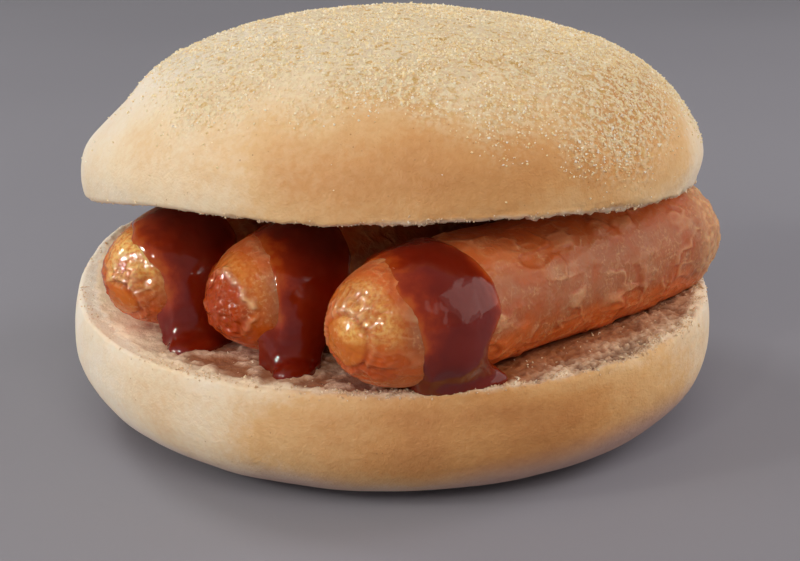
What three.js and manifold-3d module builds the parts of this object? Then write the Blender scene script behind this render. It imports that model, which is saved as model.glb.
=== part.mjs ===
// A sausage breakfast roll: a soft round bread roll split into a heel and a crown, three cooked
// sausages lying side by side across the cut, and a thick brown sauce poured over their front ends.
// Units are millimetres, +Z is up, and +Y points from the front of the roll to its back.
// The sausages run from the front left of the roll to its back right. The crown sits on them
// with its front lifted, and they press grooves into the soft crumb of both halves.

import * as THREE from "three";
import { mergeVertices, toCreasedNormals } from "three/addons/utils/BufferGeometryUtils.js";
import Module from "manifold-3d";

const wasm = await Module();
wasm.setup();

const radians = THREE.MathUtils.degToRad;

// ---------------------------------------------------------------- driving dimensions

const ROLL_RADIUS = 60; // widest radius of the heel
const CLEARANCE = 0.3; // gap kept between pieces that touch
const ROUND_SEGMENTS = 56; // steps around each half of the roll
const CREASE = radians(32); // edges sharper than this are shaded as edges

const HEEL = {
  baseRadius: 0.65 * ROLL_RADIUS, // the flat that it stands on
  bellyHeight: 15.5, // height of its widest ring
  rimHeight: 24.6,
  rimRadius: 0.98 * ROLL_RADIUS,
  rimSlope: 1.7, // the rim is this much higher at the back and lower at the front
  dish: 1.6, // how far the middle of the cut face is pressed down
};

const CROWN = {
  radius: 0.966 * ROLL_RADIUS, // its widest ring
  rimRadius: 0.955 * ROLL_RADIUS,
  lipHeight: 5, // height of its widest ring above the rim
  domeHeight: 34.2,
  domePower: 2.02, // roundness of the dome: 2 is an ellipse, more is squarer
  domeSteps: 12,
  rimLevel: 42, // height of the middle of the cut face above the table
  tilt: radians(8.5), // the front is lifted
  lean: radians(0.9), // the left is lower
  offset: new THREE.Vector2(0.9, 1.8),
};

const SAUSAGE = {
  radius: 11,
  segments: 24, // steps around it
  // Where the rings along it are, as shares of its length.
  rings: [0, 0.01, 0.035, 0.065, 0.08, 0.12, 0.18, 0.26, 0.37, 0.5, 0.62, 0.73, 0.82, 0.89, 0.94, 0.975, 1],
  capPower: 2.15, // roundness of the ends
  sink: 1.0, // how deep it lies in the crumb
  yaw: radians(44.5),
};

// Each sausage's front tip, and how it differs from the next one. The middle one's casing
// stops short of its front end, so the meat shows there.
const SAUSAGES = [
  {
    name: "sausage_left",
    tip: [-48.5, -33],
    length: 93,
    girth: 0.975,
    turn: 0,
    bend: 0.8,
    frontCap: 19,
    backCap: 13,
    phase: 0.4,
    bareEnd: 0,
  },
  {
    name: "sausage_middle",
    tip: [-29.4, -45.5],
    length: 93,
    girth: 0.98,
    turn: 0,
    bend: 0.8,
    frontCap: 18,
    backCap: 12,
    phase: 2.1,
    bareEnd: 6.5,
  },
  {
    name: "sausage_right",
    tip: [-8.2, -62],
    length: 94.5,
    girth: 1.03,
    turn: radians(0.5),
    bend: -0.8,
    frontCap: 17,
    backCap: 12,
    phase: 3.7,
    bareEnd: 0,
  },
];

// Where the sauce lies on each sausage, as the front and back edges of the drape. Each point is
// the angle round the sausage in degrees (0 at its back left side, 90 on top, 180 at its front
// right side, 270 where it stands on the crumb) and the distance along it from the front tip.
const DRAPES = [
  {
    thickness: 1.5,
    spread: 1.6, // how far its foot spreads over the crumb, or draws in if less than nothing
    front: [[62, 8], [105, 4.2], [165, 4.4], [215, 6.6], [275, 6]],
    back: [[62, 18], [105, 21], [150, 21], [200, 16], [275, 18]],
  },
  {
    thickness: 1.5,
    spread: 2.2,
    front: [[-5, 8], [60, 10], [120, 6.6], [180, 5.6], [230, 6.2], [275, 5]],
    back: [[-5, 18], [60, 20], [120, 19], [180, 15], [230, 15], [275, 16]],
  },
  {
    thickness: 1.7,
    spread: -4,
    front: [[0, 11], [80, 11], [135, 7.8], [170, 8.8], [210, 11], [275, 17]],
    back: [[0, 21], [80, 22.5], [135, 24.4], [175, 25.4], [210, 22.5], [275, 27]],
  },
];

// Sauce standing on the crumb: the valley between the middle and right sausages, then the pools
// in front of the left, middle and right ones. Radii are along each pool, across it and up.
const POOLS = [
  { centre: [-8.2, -43.1], radii: [7.5, 5.5, 15.5], yaw: radians(44.5) },
  { centre: [-33.5, -35.5], radii: [5.5, 3.6, 2.2], yaw: radians(44.5) },
  { centre: [-17.5, -46], radii: [5.5, 4, 2.4], yaw: radians(44.5) },
  { centre: [11.5, -53.6], radii: [9, 3, 2.4], yaw: radians(18) },
];

const crust = new THREE.MeshStandardMaterial({ color: 0xd9b98a, roughness: 0.8, metalness: 0 });
const meat = new THREE.MeshStandardMaterial({ color: 0xb0693a, roughness: 0.4, metalness: 0 });
const sauce = new THREE.MeshStandardMaterial({ color: 0x5c1409, roughness: 0.15, metalness: 0 });

// ---------------------------------------------------------------- helpers

const bump = (x, centre, width) => Math.exp(-(((x - centre) / width) ** 2));

// The signed difference between two angles, from -pi to pi.
const turnBetween = (a, b) => Math.atan2(Math.sin(a - b), Math.cos(a - b));

// Moves every vertex of a geometry by a function that changes a Vector3 in place.
function reshape(geometry, change) {
  const position = geometry.getAttribute("position");
  const point = new THREE.Vector3();
  for (let i = 0; i < position.count; i++) {
    point.fromBufferAttribute(position, i);
    change(point);
    position.setXYZ(i, point.x, point.y, point.z);
  }
  return geometry;
}

// A solid of revolution about Z from a profile of [radius, height] pairs, listed bottom to top.
function turned(profile, segments) {
  const points = profile.map(([radius, height]) => new THREE.Vector2(radius, height));
  return new THREE.LatheGeometry(points, segments).rotateX(Math.PI / 2);
}

// A quarter of an ellipse as [radius, height] pairs, from one point to another.
function quarter(from, to, steps, bulgeFirst) {
  const pairs = [];
  for (let i = 1; i <= steps; i++) {
    const angle = (i / steps) * (Math.PI / 2);
    const [u, v] = bulgeFirst
      ? [Math.sin(angle), 1 - Math.cos(angle)]
      : [1 - Math.cos(angle), Math.sin(angle)];
    pairs.push([from[0] + (to[0] - from[0]) * u, from[1] + (to[1] - from[1]) * v]);
  }
  return pairs;
}

// A placed mesh as a manifold solid in the roll's frame.
function solidOf(mesh) {
  mesh.updateWorldMatrix(true, false);
  const bare = new THREE.BufferGeometry();
  bare.setAttribute("position", mesh.geometry.getAttribute("position").clone());
  bare.setIndex(mesh.geometry.index);
  const merged = mergeVertices(bare.applyMatrix4(mesh.matrixWorld), 1e-4);
  return new wasm.Manifold(
    new wasm.Mesh({
      numProp: 3,
      vertProperties: new Float32Array(merged.getAttribute("position").array),
      triVerts: new Uint32Array(merged.index.array),
    }),
  );
}

// A manifold solid as a geometry.
function geometryOf(solid) {
  const { vertProperties, triVerts } = solid.getMesh();
  const geometry = new THREE.BufferGeometry();
  geometry.setAttribute("position", new THREE.BufferAttribute(new Float32Array(vertProperties), 3));
  geometry.setIndex(new THREE.BufferAttribute(new Uint32Array(triVerts), 1));
  return toCreasedNormals(geometry, CREASE);
}

const cutFrom = (solid, cutters) => cutters.reduce((left, cutter) => left.subtract(cutter), solid);

// Makes a placed mesh one clean closed solid, less any cutters. The mesh keeps its own frame.
function finished(mesh, cutters = []) {
  const left = cutFrom(solidOf(mesh), cutters);
  mesh.geometry = geometryOf(left.transform(mesh.matrixWorld.clone().invert().elements));
  return mesh;
}

// ---------------------------------------------------------------- heel

// Height of the heel's cut face at a place, before the sausages press into it.
function cutFaceHeight(x, y) {
  const share = Math.min(1, Math.hypot(x, y) / HEEL.rimRadius);
  return HEEL.rimHeight + (HEEL.rimSlope * y) / ROLL_RADIUS - HEEL.dish * (1 - share ** 4);
}

// The heel's uneven outline, as a share of its round one.
function heelOutline(angle) {
  return 1 + 0.008 * Math.sin(2 * angle + 0.6) + 0.005 * Math.sin(3 * angle + 2.2);
}

function heelGeometry() {
  const belly = [ROLL_RADIUS, HEEL.bellyHeight];
  const rim = [HEEL.rimRadius, HEEL.rimHeight];
  const profile = [
    [0, 0],
    [HEEL.baseRadius, 0],
    ...quarter([HEEL.baseRadius, 0], belly, 7, true),
    ...quarter(belly, rim, 4, false),
    ...[0.9, 0.7, 0.45, 0.2, 0].map((share) => [share * rim[0], rim[1]]),
  ];
  return reshape(turned(profile, ROUND_SEGMENTS), (point) => {
    const angle = Math.atan2(point.y, point.x);
    const share = point.z / HEEL.rimHeight;
    const outline = 1 + (heelOutline(angle) - 1) * Math.min(1, 2 * share);
    const lift = share * (cutFaceHeight(point.x, point.y) - HEEL.rimHeight);
    point.set(point.x * outline, point.y * outline, point.z + lift);
  });
}

function heelMesh() {
  const mesh = new THREE.Mesh(heelGeometry(), crust);
  mesh.name = "roll_heel";
  return mesh;
}

// ---------------------------------------------------------------- crown

// The crown's uneven outline. Its left side is pinched above a lip that flares out.
function crownOutline(angle, height) {
  const left = bump(turnBetween(angle, Math.PI), 0, 0.7);
  const right = bump(turnBetween(angle, 0), 0, 0.6);
  const waist = -0.05 * left * bump(height, 15, 8) - 0.015 * right * bump(height, 14, 6);
  const lip = 0.012 * left * bump(height, 2, 5);
  const tuck = -0.03 * right * bump(height, 0, 3.5);
  const waves = 0.006 * Math.sin(2 * angle + 1.1) + 0.004 * Math.sin(3 * angle);
  return 1 + waist + lip + tuck + waves;
}

// How far the crown's rim is lifted, or sags, at an angle round it.
function rimLift(angle) {
  const overLeftSausage = 1.5 * bump(turnBetween(angle, radians(-135)), 0, 0.35);
  const besideMiddleSausage = -0.5 * bump(turnBetween(angle, radians(-103)), 0, 0.2);
  const rightEdge = 1.2 * bump(turnBetween(angle, 0), 0, 0.4);
  return overLeftSausage + besideMiddleSausage + rightEdge;
}

function crownGeometry() {
  const lip = [CROWN.radius, CROWN.lipHeight];
  const dome = [];
  for (let i = 1; i <= CROWN.domeSteps; i++) {
    const angle = (i / CROWN.domeSteps) * (Math.PI / 2);
    const power = 2 / CROWN.domePower;
    const radius = CROWN.radius * Math.max(0, Math.cos(angle)) ** power;
    const height = lip[1] + (CROWN.domeHeight - lip[1]) * Math.sin(angle) ** power;
    dome.push([i === CROWN.domeSteps ? 0 : radius, height]);
  }
  const profile = [
    [0, 0],
    ...[0.3, 0.6, 0.85, 1].map((share) => [share * CROWN.rimRadius, 0]),
    ...quarter([CROWN.rimRadius, 0], lip, 3, true),
    ...dome,
  ];
  return reshape(turned(profile, ROUND_SEGMENTS), (point) => {
    const angle = Math.atan2(point.y, point.x);
    const outline = crownOutline(angle, point.z);
    const share = Math.min(1, Math.hypot(point.x, point.y) / CROWN.rimRadius);
    const nearRim = share ** 3 * Math.max(0, 1 - point.z / 15);
    point.set(point.x * outline, point.y * outline, point.z + nearRim * rimLift(angle));
  });
}

function crownMesh() {
  const mesh = new THREE.Mesh(crownGeometry(), crust);
  mesh.name = "roll_crown";
  mesh.position.set(CROWN.offset.x, CROWN.offset.y, CROWN.rimLevel);
  mesh.rotation.set(-CROWN.tilt, -CROWN.lean, 0);
  return mesh;
}

// ---------------------------------------------------------------- sausages

// Radius of a sausage at a distance along it and an angle round it, with its ends rounded off.
function sausageRadius(kind, along, angle) {
  const ends = [1 - along / kind.frontCap, 1 - (kind.length - along) / kind.backCap];
  const cap = ends.reduce((share, end) => {
    const depth = Math.min(1, Math.max(0, end));
    return share * (1 - depth ** SAUSAGE.capPower) ** (1 / SAUSAGE.capPower);
  }, 1);
  const swell = 1 + 0.018 * Math.sin(along / 13 + kind.phase) + 0.01 * Math.sin(along / 5 + 2 * kind.phase);
  const squash = 1 + 0.015 * Math.cos(2 * angle + kind.phase);
  const bare = along < kind.bareEnd ? 0.94 : 1;
  return SAUSAGE.radius * kind.girth * cap * swell * squash * bare;
}

// How far a sausage's axis is bowed to its back left at a distance along it.
const sausageBow = (kind, along) => kind.bend * (1 - ((2 * along) / kind.length - 1) ** 2);

// A sausage along +X from its front tip at the origin, with its skin moved out by a distance.
function sausageGeometry(kind, out = 0) {
  const last = SAUSAGE.rings.length - 1;
  const profile = SAUSAGE.rings.map((share, i) => [i % last ? SAUSAGE.radius : 0, share * kind.length]);
  return reshape(turned(profile, SAUSAGE.segments).rotateY(Math.PI / 2), (point) => {
    const along = point.x;
    const angle = Math.atan2(point.z, point.y);
    const onAxis = Math.hypot(point.y, point.z) < 1e-6;
    const radius = onAxis ? 0 : sausageRadius(kind, along, angle) + out;
    point.x = along + out * ((2 * along) / kind.length - 1);
    point.y = radius * Math.cos(angle) + sausageBow(kind, along);
    point.z = radius * Math.sin(angle);
  });
}

// Turns and moves a piece made along a sausage's own axis to where the sausage lies.
function placeOnSausage(mesh, kind) {
  const [x, y] = kind.tip;
  const reach = kind.length / 2;
  const yaw = SAUSAGE.yaw + kind.turn;
  const crumb = cutFaceHeight(x + reach * Math.cos(yaw), y + reach * Math.sin(yaw)) + HEEL.dish / 2;
  mesh.position.set(x, y, crumb - SAUSAGE.sink + SAUSAGE.radius * kind.girth);
  mesh.rotation.set(0, 0, yaw);
  return mesh;
}

function sausageMesh(kind) {
  const mesh = new THREE.Mesh(sausageGeometry(kind), meat);
  mesh.name = kind.name;
  return placeOnSausage(mesh, kind);
}

// The room a sausage takes in what it lies against, as a solid.
function hollowOf(kind) {
  return solidOf(placeOnSausage(new THREE.Mesh(sausageGeometry(kind, CLEARANCE)), kind));
}

// ---------------------------------------------------------------- sauce

// A smooth curve through [angle, along] pairs.
const skinCurve = (pairs) => new THREE.SplineCurve(pairs.map((pair) => new THREE.Vector2(...pair)));

// The outside of a drape at an angle and a distance along its sausage. It hugs the skin down to
// the widest part, then hangs straight down and spreads where it meets the crumb.
function drapePoint(kind, drape, angle, along, thickness) {
  const side = Math.min(angle, Math.PI);
  const drop = Math.max(0, angle - Math.PI) / (Math.PI / 2);
  const radius = sausageRadius(kind, along, side) + thickness;
  const y = radius * Math.cos(side) - drape.spread * drop ** 3;
  const z = drop > 0 ? -drop * SAUSAGE.radius : radius * Math.sin(side);
  return new THREE.Vector3(along, y + sausageBow(kind, along), z);
}

// A closed slab over a sausage from its front edge to its back edge. Its inside reaches well into
// the sausage, which is cut out of it later.
function drapeGeometry(kind, drape) {
  const rows = 10;
  const columns = 5;
  const frontEdge = skinCurve(drape.front);
  const backEdge = skinCurve(drape.back);
  const outside = [];
  const inside = [];
  for (let i = 0; i <= rows; i++) {
    const front = frontEdge.getPoint(i / rows);
    const back = backEdge.getPoint(i / rows);
    const start = Math.min(1, (3 * i) / rows);
    for (let j = 0; j <= columns; j++) {
      const share = (1 - Math.cos((Math.PI * j) / columns)) / 2;
      const place = front.clone().lerp(back, share);
      const bead = Math.sqrt(1 - Math.abs(2 * share - 1) ** 4);
      const angle = radians(place.x);
      const point = drapePoint(kind, drape, angle, place.y, drape.thickness * bead * (0.5 + 0.5 * start));
      outside.push(point);
      inside.push(new THREE.Vector3(point.x, 0.4 * point.y, 0.4 * point.z));
    }
  }
  const width = columns + 1;
  const half = outside.length;
  const index = [];
  const quad = (a, b, c, d) => index.push(a, b, c, a, c, d);
  for (let i = 0; i < rows; i++) {
    for (let j = 0; j < columns; j++) {
      const k = i * width + j;
      quad(k, k + width, k + width + 1, k + 1);
      quad(half + k, half + k + 1, half + k + width + 1, half + k + width);
    }
    const k = i * width;
    quad(k, half + k, half + k + width, k + width);
    quad(k + columns, k + columns + width, half + k + columns + width, half + k + columns);
  }
  for (let j = 0; j < columns; j++) {
    const k = rows * width + j;
    quad(j, j + 1, half + j + 1, half + j);
    quad(k, half + k, half + k + 1, k + 1);
  }
  const geometry = new THREE.BufferGeometry().setFromPoints([...outside, ...inside]);
  return geometry.setIndex(index);
}

function drapeMesh(drape, i) {
  return placeOnSausage(new THREE.Mesh(drapeGeometry(SAUSAGES[i], drape)), SAUSAGES[i]);
}

function poolMesh({ centre, radii, yaw }) {
  const mesh = new THREE.Mesh(new THREE.SphereGeometry(1, 14, 7).rotateX(Math.PI / 2));
  mesh.position.set(...centre, cutFaceHeight(...centre));
  mesh.rotation.z = yaw;
  mesh.scale.set(...radii);
  return mesh;
}

// All the sauce as one piece, cut clear of what it is poured over.
function sauceMesh(cutters) {
  const poured = [...DRAPES.map(drapeMesh), ...POOLS.map(poolMesh)].map(solidOf);
  const whole = poured.reduce((joined, solid) => joined.add(solid));
  const mesh = new THREE.Mesh(geometryOf(cutFrom(whole, cutters)), sauce);
  mesh.name = "sauce";
  return mesh;
}

// ---------------------------------------------------------------- assembly

const heel = heelMesh();
const crown = crownMesh();
const hollows = SAUSAGES.map(hollowOf);
const besideHeel = solidOf(heel).translate([0, 0, CLEARANCE]);
const besideCrown = solidOf(crown).translate([0, 0, -CLEARANCE]);

const filledRoll = new THREE.Group();
filledRoll.add(finished(heel, hollows));
filledRoll.add(finished(crown, hollows));
filledRoll.add(...SAUSAGES.map((kind) => finished(sausageMesh(kind))));
filledRoll.add(sauceMesh([...hollows, besideHeel, besideCrown]));

// The part's origin is on the table, under the middle of the whole.
const middle = new THREE.Box3().setFromObject(filledRoll, true).getCenter(new THREE.Vector3());
filledRoll.position.set(-middle.x, -middle.y, 0);

const part = new THREE.Group();
part.add(filledRoll);

export default part;
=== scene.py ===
"""The looks of a sausage breakfast roll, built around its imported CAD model.

The halves of the roll, the sausages and the sauce are fine meshes shaped and placed by the CAD
nodes. Semolina and loose crumbs are scattered over them. Lengths are in millimetres until a mesh
is made. Angles round a half are in radians, from its right (0) towards its back.
"""

import itertools
import math
from types import SimpleNamespace as Kind

import bpy
import numpy as np
from mathutils import Matrix, Vector
from mathutils.bvhtree import BVHTree


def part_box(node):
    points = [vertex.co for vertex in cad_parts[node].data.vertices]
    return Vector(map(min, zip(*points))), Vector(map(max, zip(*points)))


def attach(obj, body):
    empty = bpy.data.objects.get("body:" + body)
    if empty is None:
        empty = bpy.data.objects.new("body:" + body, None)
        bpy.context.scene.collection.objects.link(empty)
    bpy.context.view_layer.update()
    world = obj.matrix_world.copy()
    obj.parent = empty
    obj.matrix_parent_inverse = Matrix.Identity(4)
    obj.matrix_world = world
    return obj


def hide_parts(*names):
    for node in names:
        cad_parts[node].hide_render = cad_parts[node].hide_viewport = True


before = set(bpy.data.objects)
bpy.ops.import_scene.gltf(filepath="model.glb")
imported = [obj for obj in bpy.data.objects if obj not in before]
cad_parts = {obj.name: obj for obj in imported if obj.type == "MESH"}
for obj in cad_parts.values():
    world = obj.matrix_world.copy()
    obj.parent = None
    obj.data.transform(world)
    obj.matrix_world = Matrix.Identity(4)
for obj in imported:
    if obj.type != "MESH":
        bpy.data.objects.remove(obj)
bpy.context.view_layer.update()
MM = 0.001
X, _, Z = np.eye(3)
norm = np.linalg.norm


# ---------- random patterns

def lattice_random(cells, seed):
    """Repeatable numbers from 0 to 1, one for each lattice point."""
    n = cells.astype(np.int64) @ np.array([73856093, 19349663, 83492791]) + seed * 2654435761
    n &= 0xFFFFFFFF
    for _ in range(2):
        n = ((n ^ (n >> 16)) * 0x45D9F3B) & 0xFFFFFFFF
    return (n ^ (n >> 16)) / 0xFFFFFFFF


def noise(points, size, seed):
    """Smooth random values from -1 to 1 that change over about the given size."""
    scaled = np.asarray(points) / size
    base = np.floor(scaled).astype(np.int64)
    t = scaled - base
    t = t * t * t * (t * (6 * t - 15) + 10)
    total = 0
    for corner in itertools.product((0, 1), repeat=3):
        weight = np.prod(np.where(corner, t, 1 - t), axis=-1)
        total = total + weight * lattice_random(base + corner, seed)
    return 2 * total - 1


def noises(points, seed, *layers):
    """A sum of noises, each given by its amount, its size and what it adds to the seed."""
    return sum(amount * noise(points, size, seed + more) for amount, size, more in layers)


def crests(points, size, seed, power):
    """Thin lines, from 0 to 1, and thinner with a larger power."""
    return (1 - np.abs(noise(points, size, seed))) ** power


def warped(points, amount, size, seed):
    """Points pushed about by up to an amount, by noise of the given size."""
    return points + amount * np.stack([noise(points, size, seed + k) for k in range(3)], -1)


def cell_distance(points, size, seed):
    """Distance to the nearest of many scattered centres, in units of size."""
    scaled = np.asarray(points) / size
    base = np.floor(scaled).astype(np.int64)
    nearest = np.full(scaled.shape[:-1], 9.0)
    for step in itertools.product((-1, 0, 1), repeat=3):
        cell = base + step
        centre = cell + np.stack([lattice_random(cell, seed + k) for k in range(3)], -1)
        nearest = np.minimum(nearest, norm(scaled - centre, axis=-1))
    return nearest


def rise(low, high, value):
    """From 0 at low to 1 at high, or down from 1 where low is the larger."""
    t = np.clip((value - low) / (high - low), 0, 1)
    return t * t * (3 - 2 * t)


def between(a, b, share):
    return a * (1 - share) + b * share


def bump(value, centre, width):
    return np.exp(-(((value - centre) / width) ** 2))


def turn_between(a, b):
    """The signed difference between two angles, from -pi to pi."""
    return (a - b + math.pi) % (2 * math.pi) - math.pi


def toward(angle, centre, width):
    """1 at a centre angle, fading to 0 on both sides of it."""
    return bump(turn_between(angle, centre), 0, width)


# ---------- grids of points
# A grid holds rings of points: its first axis runs from ring to ring, its second round them.

def circle(count):
    """Evenly spaced angles, and the directions at them in the plane of x and y."""
    angles = np.arange(count) * 2 * math.pi / count
    return angles, np.stack([np.cos(angles), np.sin(angles), 0 * angles], -1)


def blurred(grid, sigma, axis):
    """A grid smoothed along one axis by a Gaussian of sigma samples."""
    reach = int(3 * sigma) + 1
    weights = bump(np.arange(-reach, reach + 1), 0, sigma * math.sqrt(2))
    weights /= weights.sum()
    pad = [(0, 0)] * grid.ndim
    pad[axis] = (reach, reach)
    padded = np.pad(grid, pad, mode="wrap" if axis == 1 else "edge")
    size = grid.shape[axis]
    return sum(w * np.take(padded, range(i, i + size), axis) for i, w in enumerate(weights))


def low_passed(grid, waves):
    """A grid with only its slow waves round each ring."""
    spectrum = np.fft.rfft(grid, axis=1)
    keep = 1 - rise(0.8 * waves, 1.3 * waves, np.arange(spectrum.shape[1]))
    return np.fft.irfft(spectrum * keep[:, None], grid.shape[1], axis=1)


def mean_length(grid):
    """Mean length of a grid from its first ring to its last."""
    return norm(np.diff(grid, axis=0), axis=-1).sum(axis=0).mean()


def resampled(line, shares):
    """Points at the given shares of a polyline's length."""
    lengths = np.r_[0, np.cumsum(norm(np.diff(line, axis=0), axis=1))]
    at = np.asarray(shares) * lengths[-1]
    return np.stack([np.interp(at, lengths, line[:, k]) for k in range(line.shape[1])], -1)


def resampled_down(grid, shares):
    """A grid with its rings moved to the given shares of its length."""
    return np.stack([resampled(grid[:, j], shares) for j in range(grid.shape[1])], 1)


def around(grid, count):
    """A grid resampled to another number of points round each ring."""
    at = np.arange(count) * grid.shape[1] / count
    low = np.floor(at).astype(int)
    after = (low + 1) % grid.shape[1]
    return between(grid[:, low], grid[:, after], (at - low)[:, None])


def in_cell(grid, i, j, u, v):
    """Values of a grid at shares u down and v across the cell that starts at i, j."""
    k = (j + 1) % grid.shape[1]
    upper = between(grid[i, j], grid[i, k], v)
    return between(upper, between(grid[i + 1, j], grid[i + 1, k], v), u)


def outward_normals(grid):
    """Unit normals of a closed grid, pointing out of it."""
    across = np.roll(grid, -1, axis=1) - np.roll(grid, 1, axis=1)
    normal = np.cross(np.gradient(grid, axis=0), across)
    normal[0] = normal[1].mean(axis=0)
    normal[-1] = normal[-2].mean(axis=0)
    normal /= np.maximum(norm(normal, axis=-1, keepdims=True), 1e-12)
    points_out = (normal * (grid - grid.mean(axis=(0, 1)))).sum() > 0
    return normal if points_out else -normal


def mesh_object(name, points, face_sets, attributes=None, smooth=True):
    """A mesh object from points in millimetres and arrays of faces, one array for each size."""
    mesh = bpy.data.meshes.new(name)
    corners = np.concatenate([np.ravel(faces) for faces in face_sets])
    sizes = np.concatenate([np.full(len(faces), len(faces[0])) for faces in face_sets])
    mesh.vertices.add(len(points))
    mesh.vertices.foreach_set("co", (np.asarray(points) * MM).astype(np.float32).ravel())
    mesh.loops.add(len(corners))
    mesh.loops.foreach_set("vertex_index", corners.astype(np.int32))
    mesh.polygons.add(len(sizes))
    mesh.polygons.foreach_set("loop_start", (np.cumsum(sizes) - sizes).astype(np.int32))
    mesh.polygons.foreach_set("use_smooth", np.full(len(sizes), smooth))
    mesh.update(calc_edges=True)
    for key, values in (attributes or {}).items():
        data = mesh.attributes.new(key, "FLOAT", "POINT").data
        data.foreach_set("value", values.astype(np.float32).ravel())
    piece = bpy.data.objects.new(name, mesh)
    bpy.context.scene.collection.objects.link(piece)
    return piece


def ring_object(name, grid, attributes):
    """A closed mesh from a grid whose first and last rings are single points."""
    rings, count = grid.shape[:2]

    def listed(values):
        return np.concatenate([values[:1, 0], np.concatenate(values[1:-1]), values[-1:, 0]])

    index = 1 + np.arange((rings - 2) * count).reshape(rings - 2, count)
    after = np.roll(index, -1, axis=1)
    quads = np.stack([index[:-1], index[1:], after[1:], after[:-1]], -1).reshape(-1, 4)
    first = np.stack([0 * index[0], index[0], after[0]], -1)
    last = np.stack([0 * index[0] + index.max() + 1, after[-1], index[-1]], -1)
    looks = {key: listed(values) for key, values in attributes.items()}
    return mesh_object(name, listed(grid), [quads, first, last], looks)


# ---------- reading the CAD nodes

def node_mesh(name):
    """A CAD node as shared points in millimetres, triangles, and a tree to cast rays at."""
    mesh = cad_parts[name].data
    corners = np.empty(3 * len(mesh.vertices), np.float32)
    mesh.vertices.foreach_get("co", corners)
    corners = np.round(corners.reshape(-1, 3) / MM, 3)
    mesh.calc_loop_triangles()
    triangles = np.empty(3 * len(mesh.loop_triangles), np.int32)
    mesh.loop_triangles.foreach_get("vertices", triangles)
    points, shared = np.unique(corners, axis=0, return_inverse=True)
    triangles = shared.ravel()[triangles.reshape(-1, 3)]
    return points, triangles, BVHTree.FromPolygons(points.tolist(), triangles.tolist())


def triangle_normals(points, triangles):
    """Normals of triangles, twice as long as the triangles' areas."""
    a, b, c = (points[triangles[:, k]] for k in range(3))
    return np.cross(b - a, c - a)


def cast(tree, starts, directions):
    """Where rays first meet a tree's surface, or nan. Each ray starts a hair aside, because one
    that runs along an edge can slip through it."""
    starts, directions = np.broadcast_arrays(starts, directions)
    aside = Vector((0.0013, 0.0007, 0.0011))
    hits = np.full(starts.shape, np.nan)
    for index in np.ndindex(starts.shape[:-1]):
        for nudge in (1, -1, 7):
            start = Vector(starts[index]) + nudge * aside
            place = tree.ray_cast(start, Vector(directions[index]))[0]
            if place is not None:
                hits[index] = place
                break
    return hits


def filled(values):
    """Values with each nan replaced by the last good one before it."""
    for i in range(1, len(values)):
        values[i] = np.where(np.isnan(values[i]), values[i - 1], values[i])
    return values


# ---------- halves of the roll

CAST_AROUND = 224  # rays round each half
CAST_DOWN = 110  # rays down each side of its crust
CAST_IN = 70  # rays from its rim to the middle of its cut face
CAST_FROM = (100, 60)  # how far out the rays to its crust and to its cut face start
ROUND_WAVES = 14  # waves kept round a half: the CAD's 56 flats lie beyond them
SHARP = math.cos(math.radians(35))  # the rim is the only outer edge sharper than this

# Points round a half; the spacing of its rings at the rim, further away, and where it widens;
# the height of the crust's lumps and of a lip at the left; how far the crust reaches over the
# rim at the left; how far the rim rises at the back left; and how strongly juice colours the
# crumb beside the sausages, with shade painted there too.
HALVES = {
    "crown": Kind(
        around=600, crust_step=(0.42, 0.85, 2.5), cut_step=(0.45, 2.6, 7), cut_side=-1,
        lumps=0.55, lip=1, rolled=1.8, lift=0, soaked=0.4, seed=300,
    ),
    "heel": Kind(
        around=720, crust_step=(0.45, 1.25, 2.5), cut_step=(0.43, 3.2, 15), cut_side=1,
        lumps=0.45, lip=0, rolled=3.2, lift=3.4, soaked=1, seed=500,
    ),
}


def spaced(length, fine, coarse, reach):
    """Distances from 0 to length, closely spaced up to reach and then wider, as shares."""
    places = [0.0]
    while places[-1] < length:
        wider = rise(reach, 2 * reach, places[-1])
        places.append(places[-1] + fine + (coarse - fine) * wider)
    return np.array(places) / places[-1]


def cut_axes(points, triangles, side):
    """Axes of a half: right, back, and from the cut face into the bread."""
    areas = triangle_normals(points, triangles)
    on_cut = areas[:, 2] * side > 0.9 * norm(areas, axis=1)
    inward = -areas[on_cut].sum(axis=0)
    inward /= norm(inward)
    right = X - inward[0] * inward
    right /= norm(right)
    back = np.cross(inward, right)
    return np.stack([right, back * np.sign(back[1]), inward])


def rim_line(points, triangles, angles):
    """Radius and height of the corner between crust and cut face, at angles round it."""
    unit = triangle_normals(points, triangles)
    unit /= norm(unit, axis=1, keepdims=True)
    edges = np.sort(triangles[:, [[0, 1], [1, 2], [2, 0]]].reshape(-1, 2), axis=1)
    order = np.lexsort(edges.T)
    beside = (order // 3).reshape(-1, 2)
    sharp = (unit[beside[:, 0]] * unit[beside[:, 1]]).sum(axis=1) < SHARP
    corners = points[np.unique(edges[order[::2]][sharp])]
    radius = np.hypot(corners[:, 0], corners[:, 1])
    angle = np.arctan2(corners[:, 1], corners[:, 0])
    near = np.abs(turn_between(angle[:, None], angle[None])) < math.radians(6.5)
    outermost = radius > 0.985 * np.where(near, radius[None], 0).max(axis=1)
    rim = np.flatnonzero(outermost)[np.argsort(angle[outermost])]
    lines = (radius[rim], corners[rim, 2])
    return np.stack([np.interp(angles, angle[rim], line, period=2 * math.pi) for line in lines], -1)


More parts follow.
